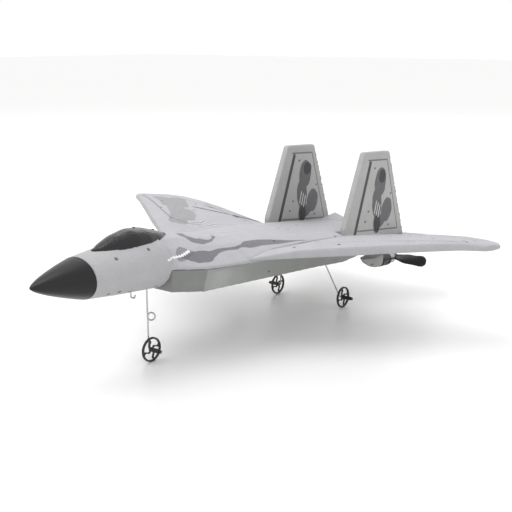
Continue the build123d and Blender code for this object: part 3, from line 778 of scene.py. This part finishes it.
def build_fin(name, sign, material):
    """Upright fin, with trimmed foam flash along its rear edge."""
    steps = 4
    outline = rounded(FIN_CORNERS, (0.8, 2.0, 2.0, 0.8, 0.8, 0.8), steps)
    top_rear_end = 3 * (steps + 1) - 1
    top_rear, low_rear = outline[top_rear_end], outline[top_rear_end + 1]
    rear = noise_line(top_rear, low_rear, 0.9, 0.5, 11 + sign)
    outline = outline[:top_rear_end + 1] + rear + outline[top_rear_end + 1:]
    front = noise_line(outline[-1], outline[0], 1.2, 0.2, 5 + sign)
    outline = outline + front
    place = lambda u, v, t: (sign * FIN_X + t, at(u), v)
    verts, faces = plate(outline, 4.0, 0.9, place)
    finish_mesh(f"{name}_fin_foam", verts, faces, "airframe", material, (f"{name}_fin",))


def build_tailplane(name, sign, material):
    outline = rounded(TAILPLANE_CORNERS, (0.3, 2.5, 2.5, 2.5, 0.3))
    place = lambda u, v, t: (sign * u, at(v), TAILPLANE_MIDDLE + t)
    verts, faces = plate(outline, 2.8, 1.0, place)
    finish_mesh(f"{name}_tailplane_foam", verts, faces, "airframe", material,
                (f"{name}_tailplane",))


def build_wing(name, sign, material):
    verts, faces = skin(wing_rows(sign))
    finish_mesh(f"{name}_wing_foam", verts, faces, "airframe", material, (f"{name}_wing",), 50)


def recolour(material, *nodes):
    """Give CAD nodes whose shape is right their finished material."""
    for node in nodes:
        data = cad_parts[node].data
        data.materials.clear()
        data.materials.append(material)


# ------------------------------------------------------------------ settings and operators
class JetSettings(bpy.types.PropertyGroup):
    """Colours of the jet's finishes."""
    foam_colour: bpy.props.FloatVectorProperty(name="Foam", description="Colour of the bare upper foam",
                                               default=FOAM, size=3, subtype="COLOR", min=0, max=1)
    print_colour: bpy.props.FloatVectorProperty(name="Print", description="Tint of the printed film",
                                                default=(0.45, 0.45, 0.495), size=3,
                                                subtype="COLOR", min=0, max=1)
    trunk_colour: bpy.props.FloatVectorProperty(name="Trunk", description="Colour of the unprinted foam",
                                                default=(0.30, 0.31, 0.295), size=3,
                                                subtype="COLOR", min=0, max=1)
    fin_colour: bpy.props.FloatVectorProperty(name="Fins", description="Colour of the fins",
                                              default=(0.40, 0.40, 0.395), size=3,
                                              subtype="COLOR", min=0, max=1)
    black_colour: bpy.props.FloatVectorProperty(name="Black", description="Colour of the nose and canopy",
                                                default=(0.008, 0.008, 0.009), size=3,
                                                subtype="COLOR", min=0, max=1)


class JET_OT_body(bpy.types.Operator):
    """Build the upper moulding and the trunk"""
    bl_idname = "jet.body"
    bl_label = "Body"

    def execute(self, context):
        settings = context.scene.jet_settings
        remoulded("fuselage", 0.55, 5, "airframe", printed_foam(settings))
        remoulded("intake_trunk", 0.5, 2, "airframe", plain_foam(settings))
        return {"FINISHED"}


class JET_OT_wings(bpy.types.Operator):
    """Build both wings with their moulded lines"""
    bl_idname = "jet.wings"
    bl_label = "Wings"

    def execute(self, context):
        material = bpy.data.materials["printed_foam"]
        both_sides(lambda name, sign: build_wing(name, sign, material))
        return {"FINISHED"}


class JET_OT_tail(bpy.types.Operator):
    """Build the fins, tailplanes and trim flaps"""
    bl_idname = "jet.tail"
    bl_label = "Tail"

    def execute(self, context):
        fin = fin_foam(context.scene.jet_settings)
        printed = bpy.data.materials["printed_foam"]
        both_sides(lambda name, sign: build_fin(name, sign, fin))
        both_sides(lambda name, sign: build_tailplane(name, sign, printed))
        for name in ("left", "right"):
            remoulded(f"{name}_trim_flap", 0.35, 3, f"{name}_trim_flap", printed)
        return {"FINISHED"}


class JET_OT_nose(bpy.types.Operator):
    """Build the nose cone and the canopy"""
    bl_idname = "jet.nose"
    bl_label = "Nose and Canopy"

    def execute(self, context):
        build_nose_cone(nose_plastic(context.scene.jet_settings))
        build_canopy(canopy_film(context.scene.jet_settings))
        return {"FINISHED"}


class JET_OT_power(bpy.types.Operator):
    """Finish the pods, motors and propellers"""
    bl_idname = "jet.power"
    bl_label = "Motors and Propellers"

    def execute(self, context):
        plain = bpy.data.materials["plain_foam"]
        for name in ("left", "right"):
            remoulded(f"{name}_motor_pod", 0.4, 4, "airframe", plain)
        recolour(drawn_metal("motor_can", (0.42, 0.43, 0.45), 0.32), "left_motor", "right_motor")
        recolour(moulded_plastic("propeller_nylon", (0.012, 0.012, 0.013), 0.3),
                 "left_propeller", "right_propeller")
        recolour(moulded_plastic("lead_sleeve", (0.02, 0.02, 0.02), 0.5),
                 "left_motor_lead", "right_motor_lead")
        return {"FINISHED"}


class JET_OT_gear(bpy.types.Operator):
    """Finish the landing gear"""
    bl_idname = "jet.gear"
    bl_label = "Landing Gear"

    def execute(self, context):
        recolour(drawn_metal("gear_wire_steel", (0.45, 0.45, 0.46), 0.28, (1, 1, 0.15)), "nose_gear_wire",
                 "main_gear_wire", "tow_hook", "hatch_pin", "cover_screws",
                 "left_motor_shaft", "right_motor_shaft")
        recolour(moulded_plastic("wheel_nylon", (0.014, 0.014, 0.015), 0.38), "nose_wheel", "left_wheel",
                 "right_wheel")
        recolour(moulded_plastic("stop_rubber", (0.02, 0.02, 0.02), 0.75, 0.08), "nose_wheel_stop",
                 "left_wheel_stop", "right_wheel_stop")
        return {"FINISHED"}


class JET_OT_bay(bpy.types.Operator):
    """Finish the equipment bay and its covers"""
    bl_idname = "jet.bay"
    bl_label = "Equipment Bay"

    def execute(self, context):
        recolour(moulded_plastic("bay_plastic", (0.02, 0.02, 0.022), 0.42), "equipment_tray", "bay_cover",
                 "battery_hatch", "switch_body", "switch_slider", "main_gear_block", "nose_gear_socket",
                 "left_motor_clip", "right_motor_clip")
        recolour(moulded_plastic("battery_sleeve", (0.02, 0.07, 0.30), 0.3), "battery")
        recolour(moulded_plastic("socket_nylon", (0.75, 0.73, 0.66), 0.4), "charge_socket")
        recolour(moulded_plastic("carbon_rod", (0.02, 0.02, 0.022), 0.35),
                 "left_wing_spar", "right_wing_spar")
        recolour(circuit_board(), "receiver_board")
        return {"FINISHED"}


CAMERA_PLACE = (0.3135, -0.38115, 0.1622)
CAMERA_AZIMUTH = math.radians(38.12)
CAMERA_ELEVATION = math.radians(13.61)
CAMERA_LENS = 63.6


class JET_OT_stage(bpy.types.Operator):
    """Set the pale floor, the soft lights and the camera"""
    bl_idname = "jet.stage"
    bl_label = "Stage"

    def execute(self, context):
        paint = Paint("floor_card", (0.93, 0.93, 0.925), 0.35)
        paint.roughen(paint.noise(60.0, 2.0), 0.3, 0.42)
        material = paint.finish()
        mesh = bpy.data.meshes.new("floor")
        mesh.from_pydata([(-6, -6, 0), (6, -6, 0), (6, 6, 0), (-6, 6, 0)], [], [(0, 1, 2, 3)])
        floor = bpy.data.objects.new("floor", mesh)
        mesh.materials.append(material)
        context.scene.collection.objects.link(floor)
        world = bpy.data.worlds.new("studio")
        world.use_nodes = True
        world.node_tree.nodes["Background"].inputs["Color"].default_value = (1, 1, 1, 1)
        world.node_tree.nodes["Background"].inputs["Strength"].default_value = 1.0
        context.scene.world = world
        context.scene.view_settings.view_transform = "Standard"
        for name, place, energy, size in (("key", (-0.3, -0.3, 1.1), 4.5, 0.8),
                                          ("fill", (1.0, -0.4, 0.6), 0.5, 0.9),
                                          ("rim", (-0.6, 0.9, 0.8), 2.0, 0.8)):
            light = bpy.data.lights.new(name, "AREA")
            light.energy = energy
            light.size = size
            lamp = bpy.data.objects.new(name, light)
            lamp.location = place
            lamp.rotation_euler = (Vector((0, 0, 0.04)) - Vector(place)).to_track_quat("-Z", "Y").to_euler()
            context.scene.collection.objects.link(lamp)
        lens = bpy.data.cameras.new("camera")
        lens.lens = CAMERA_LENS
        lens.sensor_width = 36
        lens.clip_start = 0.01
        camera = bpy.data.objects.new("camera", lens)
        camera.location = CAMERA_PLACE
        camera.rotation_euler = (math.pi / 2 - CAMERA_ELEVATION, 0, CAMERA_AZIMUTH)
        context.scene.collection.objects.link(camera)
        context.scene.camera = camera
        return {"FINISHED"}


class JET_PT_panel(bpy.types.Panel):
    """Lists the jet's build steps and finishes"""
    bl_label = "RC Jet"
    bl_idname = "JET_PT_panel"
    bl_space_type = "VIEW_3D"
    bl_region_type = "UI"
    bl_category = "RC Jet"

    def draw(self, context):
        for name in ("foam_colour", "print_colour", "trunk_colour", "fin_colour", "black_colour"):
            self.layout.prop(context.scene.jet_settings, name)
        for step in STEPS:
            self.layout.operator(step.bl_idname)


STEPS = (JET_OT_body, JET_OT_wings, JET_OT_tail, JET_OT_nose, JET_OT_power, JET_OT_gear, JET_OT_bay,
         JET_OT_stage)
CLASSES = (JetSettings, *STEPS, JET_PT_panel)


def register():
    for item in CLASSES:
        bpy.utils.register_class(item)
    bpy.types.Scene.jet_settings = bpy.props.PointerProperty(type=JetSettings)


def unregister():
    del bpy.types.Scene.jet_settings
    for item in reversed(CLASSES):
        bpy.utils.unregister_class(item)


def main():
    register()
    bpy.ops.jet.body()
    bpy.ops.jet.wings()
    bpy.ops.jet.tail()
    bpy.ops.jet.nose()
    bpy.ops.jet.power()
    bpy.ops.jet.gear()
    bpy.ops.jet.bay()
    bpy.ops.jet.stage()


if __name__ == "__main__":
    main()
